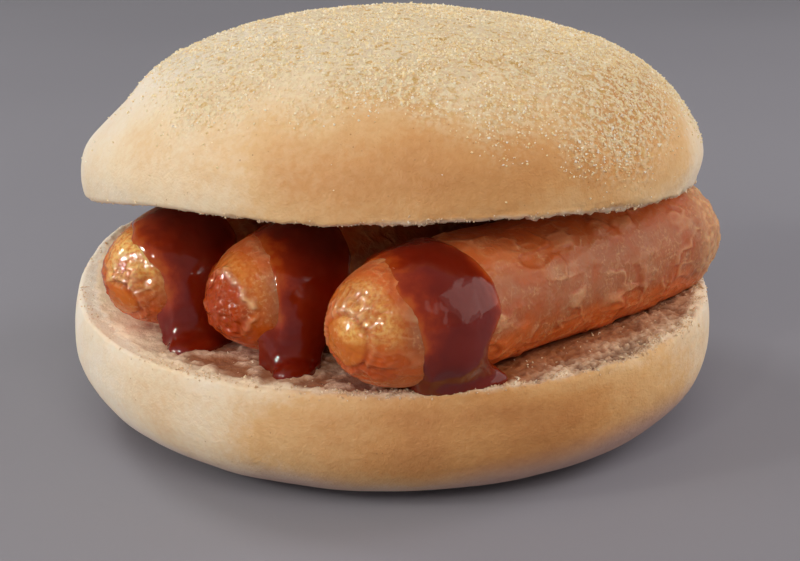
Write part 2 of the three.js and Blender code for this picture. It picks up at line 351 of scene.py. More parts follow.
def half_profile(name):
    """Rings of radius and height down the crust and in along the cut face, with their frame."""
    points, triangles, tree = node_mesh("roll_" + name)
    cut_side = HALVES[name].cut_side
    axes = cut_axes(points, triangles, cut_side)
    low, high = points.min(axis=0), points.max(axis=0)
    middle = (low + high) / 2
    middle[2] = low[2] if cut_side < 0 else high[2]
    local = (points - middle) @ axes.T
    angles, outward = circle(CAST_AROUND)
    rim = low_passed(rim_line(local, triangles, angles)[None], ROUND_WAVES)[0]

    inside = 0.45 * local[:, 2].max()
    end = np.arctan2(rim[:, 0], rim[:, 1] - inside)
    polar = (np.arange(CAST_DOWN) / CAST_DOWN)[:, None] * end
    rays = np.sin(polar)[..., None] * outward + np.cos(polar)[..., None] * Z
    starts = middle + (inside * Z + CAST_FROM[0] * rays) @ axes
    hits = (cast(tree, starts, -rays @ axes) - middle) @ axes.T
    crust = np.stack([(hits * outward).sum(axis=-1), hits[..., 2]], -1)
    crust = np.concatenate([filled(crust), rim[None]])
    crust = resampled_down(crust, np.linspace(0, 1, CAST_DOWN))
    crust = blurred(low_passed(crust, ROUND_WAVES), 1.6, 0)

    shares = np.linspace(1, 0, CAST_IN)
    radius = shares[:, None] * rim[:, 0]
    starts = radius[..., None] * outward - CAST_FROM[1] * Z
    drops = (cast(tree, middle + starts @ axes, axes[2]) - middle) @ axes.T
    cut = np.stack([radius, drops[..., 2]], -1)
    cut[:2] = rim * shares[:2, None, None] ** [1, 0]
    cut[..., 1] = blurred(blurred(filled(cut[..., 1]), 1, 0), 1, 1)
    return crust, cut, middle, axes


def half_grid(name):
    """A half's fine grid of points, each ring's distance past the rim (less on the crust), and
    each point's height from the rim into the bread and angle round it."""
    kind = HALVES[name]
    crust, cut, middle, axes = half_profile(name)
    parts, from_rim = [], []
    for rows, step, sign in ((crust[::-1], kind.crust_step, -1), (cut, kind.cut_step, 1)):
        length = mean_length(rows)
        shares = spaced(length, *step)
        parts.append(resampled_down(rows, shares))
        from_rim.append(sign * shares * length)
    rows = around(np.concatenate([parts[0][::-1], parts[1][1:]]), kind.around)
    from_rim = np.concatenate([from_rim[0][::-1], from_rim[1][1:]])
    angles, outward = circle(kind.around)
    local = rows[..., :1] * outward + rows[..., 1:] * Z
    height = local[..., 2] - rows[np.argmin(np.abs(from_rim)), :, 1]
    return middle + local @ axes, from_rim, height, angles


def crumb_relief(points, seed):
    """Height of torn crumb, in millimetres: pores of two sizes and a fine grain."""
    large = rise(0.1, 0.65, cell_distance(points, 2.2, seed)) - 1
    small = rise(0.1, 0.6, cell_distance(points, 0.95, seed + 5)) - 1
    return 0.45 * large + 0.35 * small + noises(points, seed, (0.22, 0.6, 9), (0.35, 4.5, 12))


def half_object(name):
    """One half of the roll with its crust and torn crumb, and the grid, normals and values that
    grains are scattered by."""
    kind = HALVES[name]
    seed = kind.seed
    grid, from_rim, height, angles = half_grid(name)
    looks = (crown_looks if name == "crown" else heel_looks)(grid, height, angles + 0 * height)
    rolled = kind.rolled * toward(angles, -2.75, 0.6)
    past = from_rim[:, None] - rolled + (0.25 + 0.12 * rolled) * noise(grid, 1.3, seed)
    crumb = rise(-0.15, 0.5, past)
    x, _, z = np.moveaxis(grid, -1, 0)

    lumps = kind.lumps * noises(grid, seed, (1, 24, 1), (0.4, 9, 2), (0.1, 3.5, 3))
    clumps = looks["dust"] * noises(grid, seed, (0.13, 1.1, 6), (0.16, 2.4, 7))
    lip = kind.lip * toward(angles, math.pi, 0.5)
    lip = lip * (1.2 * bump(height, 8, 4.5) - 0.6 * bump(height, 18, 3.5))
    ragged = bump(past, 0.1, 0.7) * noises(grid, seed, (0.2, 1, 4), (0.2, 2.6, 5))
    ragged = ragged * (1 + 0.8 * rise(0, 40, x))
    off_base = rise(1, 4, z)
    crust_relief = (1 - crumb) * off_base * (lumps + clumps + lip) + ragged

    smooth_side = rise(-34, -48, x)
    # Juice colour in the crumb beside the sausages, with painted shade there as well.
    stain = crumb * stained(grid) * (1 - 0.8 * smooth_side) * kind.soaked
    reach = kind.cut_step[2]
    finely_meshed = 1 - 0.9 * rise(0.6 * reach, 1.15 * reach, past)
    flakes = rise(0.0, 0.35, noises(grid, seed, (1, 2.6, 31), (0.6, 1.1, 32)))
    flakes = flakes * stain * rise(10, -5, x) * rise(0.5, 1.5, past)
    torn = crumb * rise(0, 1.2, past) * (1 - 0.75 * smooth_side)
    torn = torn * (1.25 - 0.6 * stain + 0.35 * rise(0, 30, x))
    torn = torn * finely_meshed * (crumb_relief(grid, seed + 20) + 0.15)
    relief = crust_relief + torn + 0.45 * flakes

    grid = grid + relief[..., None] * outward_normals(grid)
    grid[..., 2] += kind.lift * toward(angles, 2.8, 0.45) * bump(past, 1, 6.5)
    grid[..., 2] = np.maximum(grid[..., 2], 0)
    edge = 1 - rise(0.5, 2.2 + 1.7 * rolled, past + 0.8 * noise(grid, 4, seed + 30))
    looks.update(
        crumb=crumb,
        # Painted shade in the crumb's hollows, where its relief dips.
        pore=crumb * finely_meshed * rise(0.1, -0.8, relief),
        stain=stain,
        flakes=flakes,
        # A pale cut edge, and pale crumb over the left end that is partly painted light lifting the
        # crown's shadow.
        edge=crumb * np.maximum(edge, smooth_side),
    )
    return ring_object("bread_" + name, grid, looks), (grid, outward_normals(grid), looks)


def crown_looks(grid, height, angle):
    """How toasted and how dusted the crown is at each point."""
    front = toward(angle, -1.3, 1.0) * (1 - 0.7 * rise(-0.9, 0.1, turn_between(angle, 0)))
    sides = 0.04 + 0.86 * front + 0.55 * toward(angle, 1.6, 0.9)
    band = 1 - 0.7 * rise(4, 28, height) - 0.22 * rise(7, 0, height)
    upper_right = 0.42 * toward(angle, -0.55, 0.4) * bump(height, 19, 9)
    toast = sides * band + upper_right + 0.12 * noise(grid, 14, 310)
    start = 15.5 - 4.5 * toward(angle, -0.5, 0.8) + 5 * toward(angle, math.pi, 0.8)
    wander = noises(grid, 310, (6, 17, 1), (2.5, 5, 2))
    dust = rise(start - 6, start + 8, height + wander)
    dust = dust * (1 + 0.45 * toward(angle, -0.8, 1.1))
    return {"toast": np.clip(toast, 0, 1), "dust": dust}


def heel_looks(grid, height, angle):
    """How toasted the heel is at each point, and how near its bottom, where grey shade is painted."""
    sides = 0.02 + 0.87 * toward(angle, -1.22, 0.8) + 0.55 * toward(angle, 1.6, 0.9)
    band = rise(24, 12, height) - 0.25 * rise(4, 0, height)
    toast = sides * band + 0.1 * noise(grid, 14, 510)
    wander = 2 * noise(grid, 18, 511) + 5 * toward(angle, -0.45, 0.6)
    # Near the bottom the crust is painted grey lilac as shade and floor reflection.
    under = rise(13, 21, height + wander)
    return {"toast": np.clip(toast, 0, 1), "dust": np.zeros_like(height), "under": under}


def stained(grid):
    """How far juice and sauce colour the crumb beside the sausages, with shade painted there too."""
    soaked = 0
    for node in SAUSAGES:
        tip, axes, length, _ = sausage_frame(node)
        local = (grid - tip) @ axes.T
        along = np.clip(local[..., 0], 6, length - 6)
        beside = np.hypot(local[..., 0] - along, local[..., 1])
        reach = 17 - rise(20, 40, along)
        amount = 1 - rise(9.5, reach, beside + 1.6 * noise(grid, 4, 520))
        soaked = np.maximum(soaked, amount * (1 - 0.5 * rise(52, 78, along)))
    return soaked


# ---------- sausages

SAUSAGE_AROUND = 96  # rays round each sausage
SAUSAGE_WAVES = 6
SAUSAGE_STEP = 0.33  # spacing of the fine grid along a sausage
CAP_CENTRES = (13, 10)  # how far in from its front and back tips the rays to its ends start
CAP_RAYS, SIDE_RAYS = 30, 100  # rings of rays at each end and between them

# "disc" is the radius of the flat disc in a closed end and "at" where it lies, to its back left
# and up. "bare" is how far meat shows beyond an open casing, and "pale" how strongly its end
# shows a pale dry web, painted on the side towards the lights, with painted shade making it
# redder on the side turned away.
SAUSAGES = {
    "sausage_left": Kind(around=160, seed=700, disc=3.7, at=(-2, -4), bare=0, pale=1.3),
    "sausage_middle": Kind(around=160, seed=720, disc=0, at=(0, 0), bare=6.8, pale=0.3),
    "sausage_right": Kind(around=196, seed=740, disc=4.2, at=(0, -0.4), bare=0, pale=1),
}


def sausage_frame(node):
    """A sausage's front tip, its axes (along it, to its back left, up), length and tree."""
    points, _, tree = node_mesh(node)
    flat = points[:, :2] - points[:, :2].mean(axis=0)
    along = np.linalg.svd(flat, full_matrices=False)[2][0]
    along = np.append(along * np.sign(along[0]), 0)
    axes = np.stack([along, np.cross(Z, along), Z])
    local = points @ axes.T
    low, high = local.min(axis=0), local.max(axis=0)
    tip = np.array([low[0], *(low + high)[1:] / 2]) @ axes
    return tip, axes, high[0] - low[0], tree


def sausage_skin(node):
    """A sausage's smooth skin as rings of distance along it and radius, with its frame."""
    tip, axes, length, tree = sausage_frame(node)
    outward = np.roll(circle(SAUSAGE_AROUND)[1], 1, axis=-1)
    front, back = CAP_CENTRES[0], length - CAP_CENTRES[1]
    starts = np.r_[[front] * CAP_RAYS, np.linspace(front, back, SIDE_RAYS), [back] * CAP_RAYS]
    polar = np.r_[np.linspace(0.5, 90, CAP_RAYS), [90] * SIDE_RAYS, np.linspace(90, 179.5, CAP_RAYS)]
    polar = np.radians(polar)[:, None, None]
    rays = np.sin(polar) * outward - np.cos(polar) * X
    hits = cast(tree, tip + (starts[:, None, None] * X) @ axes, rays @ axes)
    local = (hits - tip) @ axes.T
    rows = filled(np.stack([local[..., 0], (local * outward).sum(axis=-1)], -1))
    rows = resampled_down(low_passed(rows, SAUSAGE_WAVES), np.linspace(0, 1, int(length / 0.9)))
    return blurred(rows, 2, 0), tip, axes, length


def ridged(points, size, seed):
    """Thin raised lines that wander and branch over about the given size."""
    return crests(warped(points, 0.35 * size, 1.3 * size, seed), size, seed + 3, 4)


def folded(points, size, seed):
    """Wandering folds, steep on one side: their height, and the foot of that side for painted shade."""
    value = noise(warped(points, 0.3 * size, 0.8 * size, seed), size, seed + 3)
    height = rise(-0.09, 0.09, value) * rise(0.45, 0.09, value)
    return height, bump(value, -0.07, 0.07)


def sausage_object(node):
    """A sausage with its end, wrinkles and dents modelled, and the values that colour it."""
    kind = SAUSAGES[node]
    seed, disc = kind.seed, kind.disc
    rows, tip, axes, length = sausage_skin(node)
    shares = np.linspace(0, 1, int(length * 1.12 / SAUSAGE_STEP))
    fine = around(resampled_down(rows, shares), kind.around)
    angles, outward = circle(kind.around)
    local = fine[..., :1] * X + fine[..., 1:] * np.roll(outward, 1, axis=-1)
    from_tip = (shares * mean_length(fine))[:, None] + 0 * angles

    rough_skin = rise(-0.2, 0.35, noise(local, 7, seed + 20))
    fine_folds = rise(-0.15, 0.35, noise(local, 5, seed + 26))
    large, large_feet = folded(local * [0.8, 1.1, 1.1], 6, seed)
    small, small_feet = folded(local * [0.55, 1.2, 1.2], 3, seed + 10)
    small = small * fine_folds
    raised = rough_skin * ridged(local * [0.65, 1.1, 1.1], 2.6, seed + 15)
    feet = np.clip(large_feet * rough_skin + small_feet * fine_folds, 0, 1)
    dents = 0.4 * noise(local, 13, seed + 21) + 0.12 * noise(local * [0.6, 1, 1], 4.2, seed + 22)
    wrinkles = 0.34 * large * rough_skin + 0.24 * small + 0.16 * raised
    smeared = 1 - 0.75 * rise(29, 23, from_tip)
    body = (dents + wrinkles) * smeared + 0.05 * noise(local, 1.1, seed + 23)
    tail = rise(length - 16, length - 4, from_tip + 2 * noise(local, 6, seed + 24))
    frayed = tail * (0.25 * ridged(local, 2.6, seed + 25) + 0.2 * noise(local, 1.6, seed + 26))

    aside = local - [0.6 * (disc > 0), *kind.at]
    turn = np.arctan2(aside[..., 2], aside[..., 1])
    from_disc = np.where(from_tip < 20, norm(aside, axis=-1), 20)
    end, end_creases, end_ridges = end_relief(local, from_disc, turn, kind)
    near_end = rise(12, 7, from_tip)
    relief = between(body + frayed, 0.35 * body + end, near_end)
    # Painted light: how far each side faces the lights; the end gets a pale web there and is redder away
    # from them.
    lit = kind.pale * rise(0.1, 1.0, np.cos(angles - math.radians(118)))
    looks = {
        # Shade painted into the creases and grooves, highlights painted onto the raised lines.
        "painted_crease_shade": between(feet, end_creases, near_end),
        "painted_ridge_highlight": between(0.3 * raised + 0.5 * small, end_ridges, near_end),
        "end": near_end,
        "tail": tail,
        "meat": bare_meat(local, from_tip, kind),
        "disc": 1 - rise(disc - 0.6, disc + 0.3, from_disc) if disc else 0 * from_tip,
        "side": 0 * from_tip + np.sin(angles),
        "lit": 0 * from_tip + lit,
    }
    grid = tip + local @ axes
    return ring_object(node + "_skin", grid + relief[..., None] * outward_normals(grid), looks)


def end_relief(local, out, angles, kind):
    """The puckered end of a casing: relief, creases painted dark as shade and ridges painted pale as
    highlights, by distance out from the end's disc and angle round it."""
    seed, disc = kind.seed + 40, kind.disc
    facing = rise(-0.4, 0.7, np.cos(angles - math.radians(150)))
    if kind.bare:
        lumps = noises(local, seed, (0.42, 2.3, 0), (0.3, 1.1, 1))
        edge = bump(out + 1.1 * noise(local, 3.4, seed + 2), kind.bare, 0.7)
        crumbly = 0.65 + noises(local, seed, (1.1, 1.3, 3), (0.5, 0.7, 12))
        edge = edge * (0.15 + 0.85 * facing) * np.clip(crumbly, 0, 1.3)
        meat = bare_meat(local, out, kind)
        return meat * (lumps - 0.05) + 0.7 * edge, meat * rise(0.0, -0.5, lumps), edge
    turn = angles + 0.25 * noise(local, 5, seed + 4)
    ring = np.stack([np.cos(turn), np.sin(turn), 0.07 * out], -1)
    uneven = rise(-0.5, 0.5, noise(ring * [1, 1, 0], 1.1, seed + 6)) * (0.3 + 0.7 * facing)
    fade = rise(disc - 0.3, disc + 1.0, out) * rise(disc + 7.5, disc + 3, out)
    spokes = crests(ring, 0.18, seed + 5, 4) + 0.4 * crests(ring, 0.11, seed + 9, 3)
    spokes = fade * spokes * (0.3 + 0.7 * uneven)
    ridges = fade * crests(ring, 0.15, seed + 15, 6) * (0.25 + 0.75 * uneven)
    wander = noises(local, seed, (0.5, 3, 7), (0.3, 1.5, 16))
    groove = bump(out + wander, disc + 0.35, 0.45)
    groove = groove * (0.35 + 0.65 * rise(-0.5, 0.4, noise(local, 4, seed + 11)))
    lip = bump(out + wander, disc + 1.2, 0.4) * (0.3 + 0.7 * uneven)
    grain = noises(local, seed, (0.14, 2, 8), (0.1, 0.8, 10))
    relief = grain - 0.6 * groove - 0.42 * spokes + 0.36 * ridges + 0.2 * lip
    return relief, np.clip(0.8 * groove + 0.8 * spokes, 0, 1), np.clip(ridges + 0.6 * lip, 0, 1)


def bare_meat(local, from_tip, kind):
    """Where the meat shows beyond the end of its casing."""
    if not kind.bare:
        return 0 * from_tip
    edge = kind.bare - 0.5 - 0.8 * noise(local, 4, kind.seed + 42)
    return 1 - rise(edge - 0.5, edge + 0.3, from_tip)


# ---------- sauce

CELL = 0.38  # spacing of the grid that the sauce's surface is found on
SKIN_DEPTH = 0.9  # how far the sauce reaches into what it lies on, so that no gap shows
CURTAIN = 3.2  # thickness of the sauce that hangs from a sausage's side to the crumb

# Front and back edges of the drape of sauce on each sausage. Each point is an angle round the
# sausage in degrees (0 at its back left, 90 on top, 270 where it stands on the crumb) and a
# distance from its front tip. A drape's foot spreads over the crumb, or draws in if below 0.
DRAPES = {
    "sausage_left": Kind(
        thickness=1.35, spread=1.6,
        front=[[62, 8], [105, 5.2], [165, 6.2], [215, 6.6], [275, 6]],
        back=[[62, 18], [105, 21], [150, 21], [200, 16], [275, 18]],
    ),
    "sausage_middle": Kind(
        thickness=1.35, spread=0.4,
        front=[[-5, 9], [60, 11.5], [120, 8.6], [180, 7.2], [230, 6.6], [275, 6.3]],
        back=[[-5, 20], [60, 24], [120, 25], [180, 20.5], [230, 17], [275, 14]],
    ),
    "sausage_right": Kind(
        thickness=1.6, spread=-4,
        front=[[0, 11], [80, 11], [135, 7.8], [170, 8.8], [210, 10], [275, 13]],
        back=[[0, 21], [80, 22.5], [135, 24.4], [175, 25.4], [210, 22.5], [275, 27]],
    ),
}

# Sauce on the crumb, by its distance along a sausage from the front tip and to its back left, and
# its yaw from it. Radii are along the pool, across it and up.
POOLS = [
    Kind(by="sausage_right", along=19, side=13.5, radii=(4.8, 5.5, 14), turn=0),
    Kind(by="sausage_left", along=9, side=-12.3, radii=(5.5, 3.6, 2.4), turn=0),
    Kind(by="sausage_middle", along=8.2, side=-11.2, radii=(4.4, 3.0, 2.4), turn=0),
    Kind(by="sausage_right", along=19.9, side=-7.8, radii=(8, 2.7, 3.6), turn=-26.5),
]


def smooth_line(pairs, at):
    """Heights of a smooth curve through points, at the given places."""
    x, y = np.array(pairs, float).T
    slope = np.gradient(y, x)
    at = np.clip(at, x[0], x[-1])
    i = np.clip(np.searchsorted(x, at) - 1, 0, len(x) - 2)
    width = x[i + 1] - x[i]
    t = (at - x[i]) / width
    curve = y[i] * (1 + 2 * t) * (1 - t) ** 2 + y[i + 1] * t * t * (3 - 2 * t)
    return curve + width * (slope[i] * t * (1 - t) ** 2 - slope[i + 1] * t * t * (1 - t))


def looked_up(table, row, turn):
    """Values from a table at rows and turns, turns being shares of its wrapped second axis."""
    row = np.clip(row, 0, len(table) - 1.001)
    column = (turn % 1) * table.shape[1]
    i, j = row.astype(int), column.astype(int)
    return in_cell(table, i, j % table.shape[1], row - i, column - j)


def drape_field(points, node):
    """Depth inside a drape of sauce, height above the skin, and distance in from its edges."""
    drape = DRAPES[node]
    rows, tip, axes, length = sausage_skin(node)
    even = np.linspace(0, length, 160)
    lines = [np.interp(even, rows[:, j, 0], rows[:, j, 1]) for j in range(rows.shape[1])]
    table = np.stack(lines, 1)  # the skin's radius by distance along it and angle round it
    last = len(even) - 1
    along, side, up = np.moveaxis((points - tip) @ axes.T, -1, 0)
    turn = np.arctan2(up, side)
    row = along / length * last
    radius, ahead, behind = (looked_up(table, row + k, turn / (2 * math.pi)) for k in (0, 1, -1))
    slope = (ahead - behind) / (2 * length / last)
    height = (np.hypot(side, up) - radius) / np.sqrt(1 + slope**2)
    outside = (along < 0) | (along > length)
    height = np.where(outside, np.maximum(height, np.hypot(side, up)), height)

    hanging = (side < 0) & (up < 0)
    widest = looked_up(table, row, 0 * row + 0.5)
    drop = -up / widest
    beside = -side - widest - drape.spread * np.clip(drop, 0, 1.2) ** 3
    above = np.where(hanging, beside, height)
    angle = np.where(hanging, 180 + 90 * drop, np.degrees(turn))
    angle = np.where(angle < -90, angle + 360, angle)
    wander = noises(points, 810, (0.9, 6, 0), (0.35, 2.2, 1))
    front = smooth_line(drape.front, angle) + wander
    back = smooth_line(drape.back, angle) - wander
    share = (along - front) / (back - front)
    bead = 1 - np.abs(2 * share - 1) ** 4
    thin_edge = 0.3 + 0.7 * rise(0, 0.5, share)
    first = drape.front[0][0]
    begun = rise(first - 6, first + 30, angle)
    flow = 0.8 + 0.35 * rise(120, 230, angle) + 0.3 * noise(points, 5.5, 812)
    film = drape.thickness * flow * thin_edge * (0.35 + 0.65 * begun) * np.sqrt(np.clip(bead, 0, 1))
    outside_edge = np.minimum(bead, 0) * 2.5 - np.clip(first - 3 - angle, 0, 20) * 0.2
    field = film + outside_edge - above
    inset = np.minimum(along - front, back - along)
    return np.where(hanging, np.minimum(field, beside + CURTAIN), field), height, inset


def pool_field(points, pool):
    """Depth inside a pool of sauce that stands on the heel's CAD surface."""
    tip, axes, _, _ = sausage_frame(pool.by)
    place = tip + pool.along * axes[0] + pool.side * axes[1]
    place[2] = cast(node_mesh("roll_heel")[2], place * [1, 1, 0] + 60 * Z, -Z)[2]
    turn = math.radians(pool.turn)
    cos, sin = math.cos(turn), math.sin(turn)
    ahead, aside, up = np.moveaxis((points - place) @ axes.T, -1, 0)
    along = cos * ahead + sin * aside
    across = cos * aside - sin * ahead + 0.7 * noise(points, 5, 820)
    scaled = np.stack([along, across, up], -1) / pool.radii
    return (1 - norm(scaled, axis=-1)) * min(pool.radii)


def smooth_max(a, b, soft):
    """The larger of two fields, with the corner between them rounded."""
    blend = np.clip(0.5 + 0.5 * (a - b) / soft, 0, 1)
    return b + (a - b) * blend + soft * blend * (1 - blend)


def sauce_field(points):
    """Depth inside the sauce, height above the nearest sausage and distance in from the edges."""
    field = None
    for node in DRAPES:
        drape, height, edge = drape_field(points, node)
        if field is None:
            field, nearest, inset = drape, height, edge
        field = smooth_max(field, drape, 1.2)
        inset = np.where(height < nearest, edge, inset)
        nearest = np.minimum(nearest, height)
    for pool in POOLS:
        field = smooth_max(field, pool_field(points, pool), 2.0)
    return np.minimum(field, nearest + SKIN_DEPTH), nearest, inset


def cells_beside(edges, axis, steps):
    """Indices of the cells some steps back from grid edges in the directions across them."""
    cells = edges.copy()
    cells[:, [k for k in range(3) if k != axis]] -= steps
    return tuple(cells.T)


def surface_of(field, low, cell):
    """A closed mesh of quads where a field crosses zero: one point in each cell it crosses."""
    total = np.zeros(np.array(field.shape) - 1)
    sums = np.zeros(total.shape + (3,))
    crossings = []
    for axis in range(3):
        a, b = np.delete(field, -1, axis), np.delete(field, 0, axis)
        crossed = np.argwhere((a > 0) != (b > 0))
        a, b = a[tuple(crossed.T)], b[tuple(crossed.T)]
        place = crossed + (a / (a - b))[:, None] * np.eye(3)[axis]
        crossings.append((crossed, a > 0))
        for steps in itertools.product((0, 1), repeat=2):
            cells = cells_beside(crossed, axis, steps)
            np.add.at(total, cells, 1)
            np.add.at(sums, cells, place)
    used = total > 0
    index = np.cumsum(used).reshape(used.shape) - 1
    points = low + cell * sums[used] / total[used][:, None]
    quads = []
    for axis, (crossed, leaving) in enumerate(crossings):
        round_edge = ((0, 0), (1, 0), (1, 1), (0, 1))
        quad = np.stack([index[cells_beside(crossed, axis, steps)] for steps in round_edge], -1)
        quads.append(np.where((leaving ^ (axis == 1))[:, None], quad, quad[:, ::-1]))
    return points, np.concatenate(quads)


def relaxed(points, faces, rounds, amount):
    """Points moved part of the way to the middle of their neighbours, some rounds over."""
    edges = np.concatenate([faces, np.roll(faces, -1, axis=1)], axis=0).reshape(2, -1)
    start, end = np.concatenate([edges, edges[::-1]], axis=1)
    count = np.bincount(start, minlength=len(points))[:, None]
    for _ in range(rounds):
        sums = [np.bincount(start, points[end, k], len(points)) for k in range(3)]
        points = points + amount * (np.stack(sums, -1) / count - points)
    return points


def sauce_object():
    """The sauce over the sausages' front ends, with its depth for its colour."""
    low, high = (np.array(corner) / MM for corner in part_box("sauce"))
    low, high = low - 2, high + 2
    steps = [np.arange(low[k], high[k], CELL) for k in range(3)]
    points = np.stack(np.meshgrid(*steps, indexing="ij"), -1)
    vertices, quads = surface_of(sauce_field(points)[0], low, CELL)
    vertices = relaxed(vertices, quads, 3, 0.5)
    _, height, inset = sauce_field(vertices)
    depth = np.minimum(np.clip(height, 0, 4), 0.05 + 0.27 * np.clip(inset, 0, 9))
    depth = depth + 0.9 * rise(34, 26, vertices[:, 2])
    return mesh_object("sauce_poured", vertices, [quads], {"depth": depth})


# ---------- semolina and crumbs

SEMOLINA = 22000  # grains on the crown
CRUMBS = (2000, 3200)  # on the crown and on the heel
OCTAHEDRON = np.kron(np.eye(3), [[1], [-1]])  # two opposite corners on each axis
OCTAHEDRON_FACES = np.array(
    [[0, 2, 4], [2, 1, 4], [1, 3, 4], [3, 0, 4], [2, 0, 5], [1, 2, 5], [3, 1, 5], [0, 3, 5]]
)


def scattered(rng, grid, normals, weight, count):
    """Random places on a grid of rings, more of them where the weight is larger."""
    down = norm(np.diff(grid, axis=0), axis=-1)
    across = norm(np.roll(grid, -1, axis=1) - grid, axis=-1)[:-1]
    share = (down * across * weight[:-1]).ravel()
    picked = rng.choice(share.size, count, p=share / share.sum())
    i, j = np.divmod(picked, grid.shape[1])
    u, v = rng.random((2, count, 1))
    return in_cell(grid, i, j, u, v), normals[i, j]


def turned(rng, shapes):
    """Shapes, each of some points, turned at random by unit quaternions."""
    turns = rng.normal(size=(4, len(shapes), 1, 1))
    turns /= norm(turns, axis=0)
    axis = np.concatenate(turns[1:], axis=-1)
    once = np.cross(shapes, axis)
    return shapes + 2 * (turns[0] * once + np.cross(once, axis))


def grains_object(name, rng, places, normals, radius, sink, longer=1):
    """One joined mesh of small angular grains, each with its own size, shape and tint."""
    count = len(places)
    shape = OCTAHEDRON * (1 + 0.35 * rng.uniform(-1, 1, (count, 6, 1)))
    size = radius * rng.lognormal(0, 0.28, (count, 1, 1))
    stretch = np.stack([np.full(count, longer), *rng.uniform(0.6, 1, (2, count))], -1)[:, None]
    points = places[:, None] + turned(rng, shape * size * stretch)
    points = points + normals[:, None] * (size * (1 - sink))
    faces = (OCTAHEDRON_FACES + 6 * np.arange(count)[:, None, None]).reshape(-1, 3)
    looks = {"tint": np.repeat(rng.random(count), 6)}
    return mesh_object(name, points.reshape(-1, 3), [faces], looks, smooth=False)


def semolina_object(grid, normals, looks):
    """Semolina stuck to the crown: thick on top, thinning out in clumps lower down."""
    rng = np.random.default_rng(41)
    patches = 0.4 + rise(-0.4, 0.5, noise(grid, 1.8, 331))
    patches = 0.35 + rise(-0.5, 0.6, noise(grid, 5, 330)) * patches
    on_crust = (1 - looks["crumb"]) * rise(2, 6, grid[..., 2] - grid[..., 2].min())
    right_side = 0.8 + 0.7 * rise(-15, 25, grid[..., 0])
    weight = on_crust * (looks["dust"] * patches * right_side + 0.005)
    places, out = scattered(rng, grid, normals, weight, SEMOLINA)
    return grains_object("semolina", rng, places, out, radius=0.19, sink=0.75)


def crumbs_object(halves):
    """Loose crumbs and torn bits along both cut edges and over the cut face near them."""
    rng = np.random.default_rng(42)
    parts = []
    for count, grid, normals, looks in halves:
        smooth_side = rise(-20, -48, grid[..., 0])
        row = np.arange(len(grid))[:, None] - np.argmax(looks["crumb"][:, 0] > 0.5)
        weight = bump(row, 1, 2.0) + 0.02 * (row > 0) * rise(36, 20, row)
        weight = weight * (0.35 + rise(-0.4, 0.5, noise(grid, 4, 340)))
        weight = weight * (1 - 0.85 * smooth_side)
        parts.append(scattered(rng, grid, normals, weight, count))
    places, out = (np.concatenate(values) for values in zip(*parts))
    return grains_object("torn_crumbs", rng, places, out, radius=0.17, sink=0.8, longer=1.5)


# ---------- materials

def linear(colour):
    """A screen colour such as 0xFF8000 as a linear RGBA colour."""
    shares = [c / 255 for c in colour.to_bytes(3, "big")]
    return tuple(c / 12.92 if c <= 0.04045 else ((c + 0.055) / 1.055) ** 2.4 for c in shares) + (1,)


